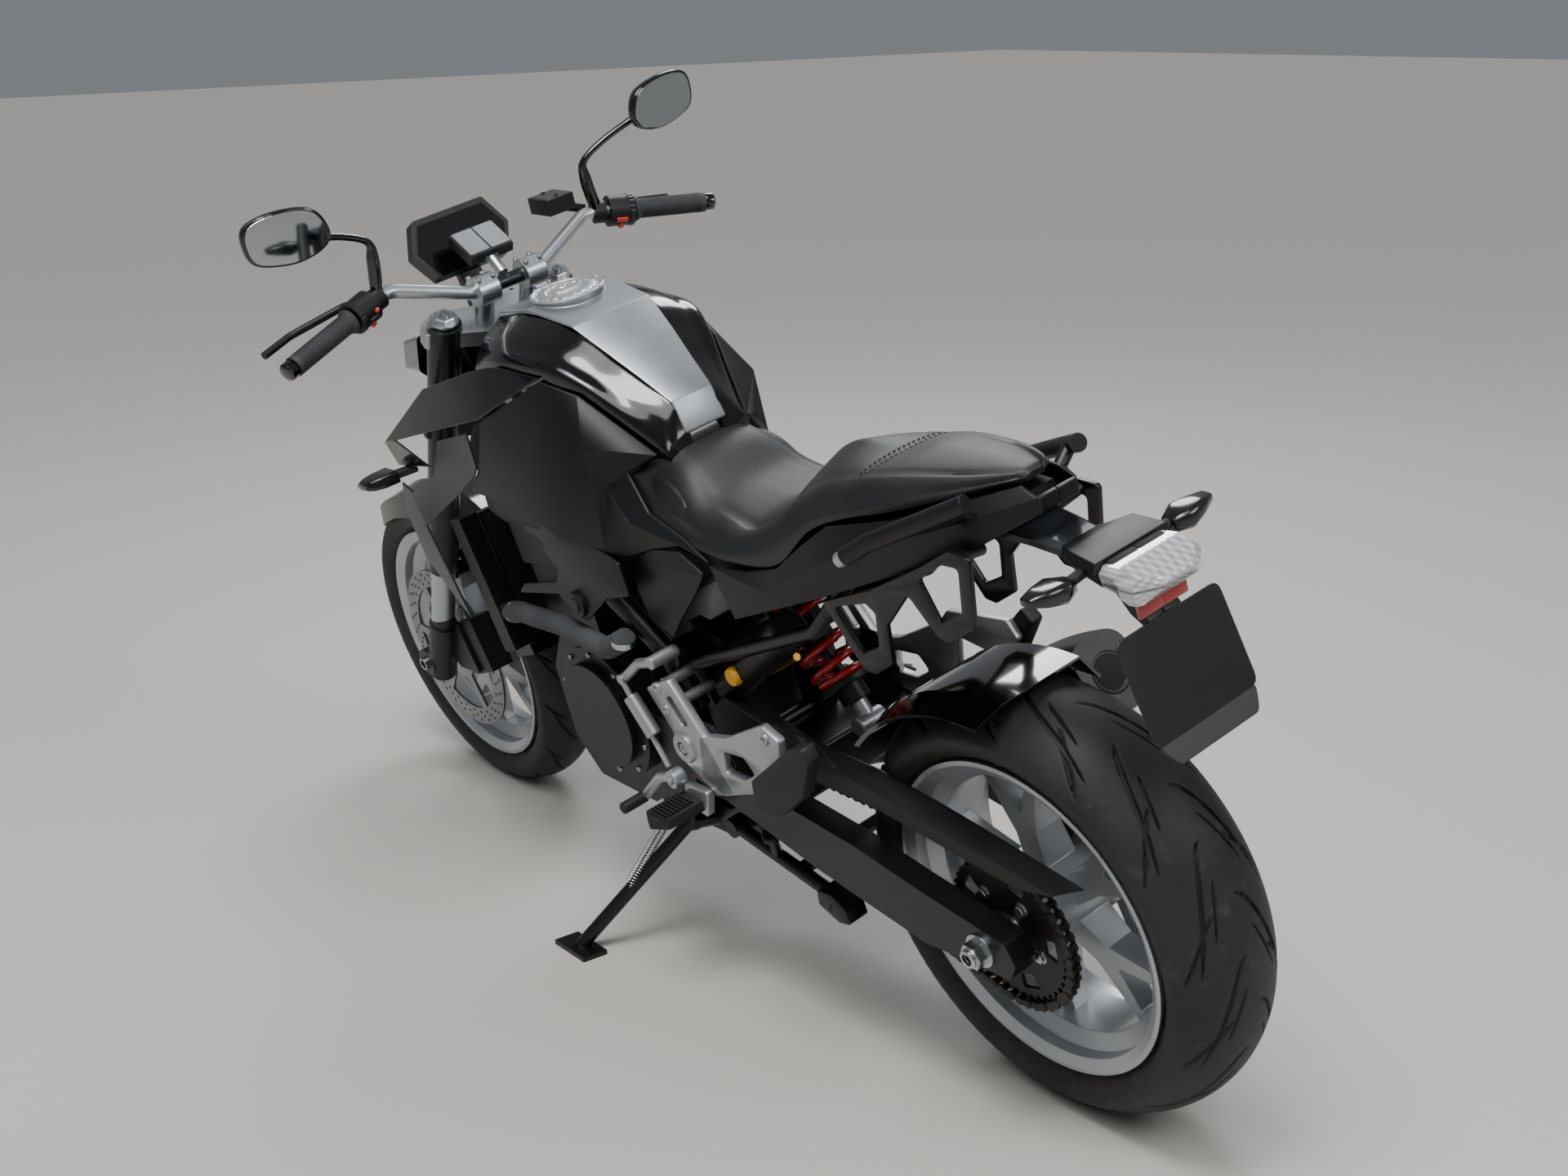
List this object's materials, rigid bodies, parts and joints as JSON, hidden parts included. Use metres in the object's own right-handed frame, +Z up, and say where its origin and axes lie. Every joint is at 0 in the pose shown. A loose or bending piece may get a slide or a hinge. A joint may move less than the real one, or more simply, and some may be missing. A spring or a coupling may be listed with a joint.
{
  "type": "naked street motorcycle",
  "caption": "Naked street motorcycle with a parallel twin, upswept seat and grab rails, parked leaning on its side stand.",
  "frame": {"origin": "on the road under the middle of the parked machine's box", "axes": "+X forward along the machine, +Y to its left, +Z up"},
  "size_m": [2.1329, 0.875, 1.3357],
  "materials": {
    "black_frame": "satin",
    "black_casting": "satin",
    "black_aluminium": "satin",
    "hose_rubber": "matte",
    "grey_plastic": "satin",
    "gloss_black_paint": "gloss",
    "silver_paint": "satin",
    "matte_black_plastic": "matte",
    "seat_cover": "matte",
    "clear_lens": "gloss",
    "plate_black": "satin",
    "smoked_lens": "gloss",
    "bright_steel": "satin",
    "grey_casting": "satin",
    "red_spring": "gloss",
    "gloss_black_plastic": "gloss",
    "dark_steel": "satin",
    "black_exhaust": "satin",
    "silver_casting": "satin",
    "grey_tube": "satin",
    "display_black": "gloss",
    "silver_bar": "satin",
    "grip_rubber": "matte",
    "silver_wheel": "satin",
    "tyre_rubber": "matte",
    "disc_steel": "satin",
    "pale_cap": "satin"
  },
  "bodies": {
    "chassis": {"drive_chain": "dark_steel", "rear_caliper": "black_casting", "swingarm": "black_frame", "rear_axle": "bright_steel", "shock_absorber": "grey_casting", "shock_spring": "red_spring", "engine_block": "black_casting", "engine_covers": "black_casting", "main_frame": "black_frame", "rear_subframe": "black_frame", "radiator": "black_aluminium", "coolant_hose": "hose_rubber", "exhaust": "black_exhaust", "fuel_tank": "gloss_black_paint", "tank_centre_panel": "silver_paint", "tank_shrouds": "gloss_black_paint", "side_panels": "matte_black_plastic", "radiator_panels": "grey_plastic", "seat": "seat_cover", "tail_panels": "matte_black_plastic", "grab_handles": "black_casting", "luggage_brackets": "black_frame", "tail_carrier": "matte_black_plastic", "tail_light": "clear_lens", "licence_plate": "plate_black", "hugger": "gloss_black_plastic", "footrests": "silver_casting", "foot_controls": "black_frame", "indicators": "smoked_lens"},
    "front_wheel": {"front_rim": "silver_wheel", "front_tyre": "tyre_rubber", "front_discs": "disc_steel"},
    "rear_wheel": {"rear_rim": "silver_wheel", "rear_tyre": "tyre_rubber", "rear_sprocket": "dark_steel", "rear_disc": "disc_steel"},
    "side_stand": {"side_stand": "black_frame"},
    "centre_stand": {"centre_stand": "black_frame"},
    "fuel_cap": {"fuel_cap": "pale_cap"},
    "steering": {"triple_clamps": "silver_casting", "fork_tubes": "grey_tube", "fork_legs": "black_casting", "front_axle": "bright_steel", "front_calipers": "black_casting", "front_mudguard": "gloss_black_plastic", "handlebar": "silver_bar", "grips": "grip_rubber", "hand_controls": "matte_black_plastic", "mirrors": "gloss_black_plastic", "instruments": "display_black", "headlight": "gloss_black_plastic"}
  },
  "joints": [
    {"name": "steering", "type": "hinge", "parent": "chassis", "child": "steering", "pos_m": [0.37997, -0.04935, 0.86324], "axis": [-0.4918, 0.2032, 0.8466], "range_deg": [-33, 33]},
    {"name": "front_wheel_spin", "type": "hinge", "parent": "steering", "child": "front_wheel", "pos_m": [0.7665, -0.186, 0.29378], "axis": [-0.0002, 0.9724, -0.2334], "continuous": true},
    {"name": "rear_wheel_spin", "type": "hinge", "parent": "chassis", "child": "rear_wheel", "pos_m": [-0.7515, -0.1825, 0.3094], "axis": [-0.0002, 0.9724, -0.2334], "continuous": true},
    {"name": "side_stand", "type": "hinge", "parent": "chassis", "child": "side_stand", "pos_m": [-0.05156, -0.07484, 0.20903], "axis": [-0.1575, 0.9702, 0.1839], "range_deg": [0, 110]},
    {"name": "centre_stand", "type": "hinge", "parent": "chassis", "child": "centre_stand", "pos_m": [-0.14553, -0.19651, 0.25065], "axis": [0.0002, -0.9724, 0.2334], "range_deg": [0, 85], "stiffness_Nm_per_rad": 18, "springref_deg": -28.65},
    {"name": "fuel_cap", "type": "hinge", "parent": "chassis", "child": "fuel_cap", "pos_m": [0.204, -0.00975, 1.02831], "axis": [-0.0002, 0.9724, -0.2334], "range_deg": [0, 85]}
  ]
}
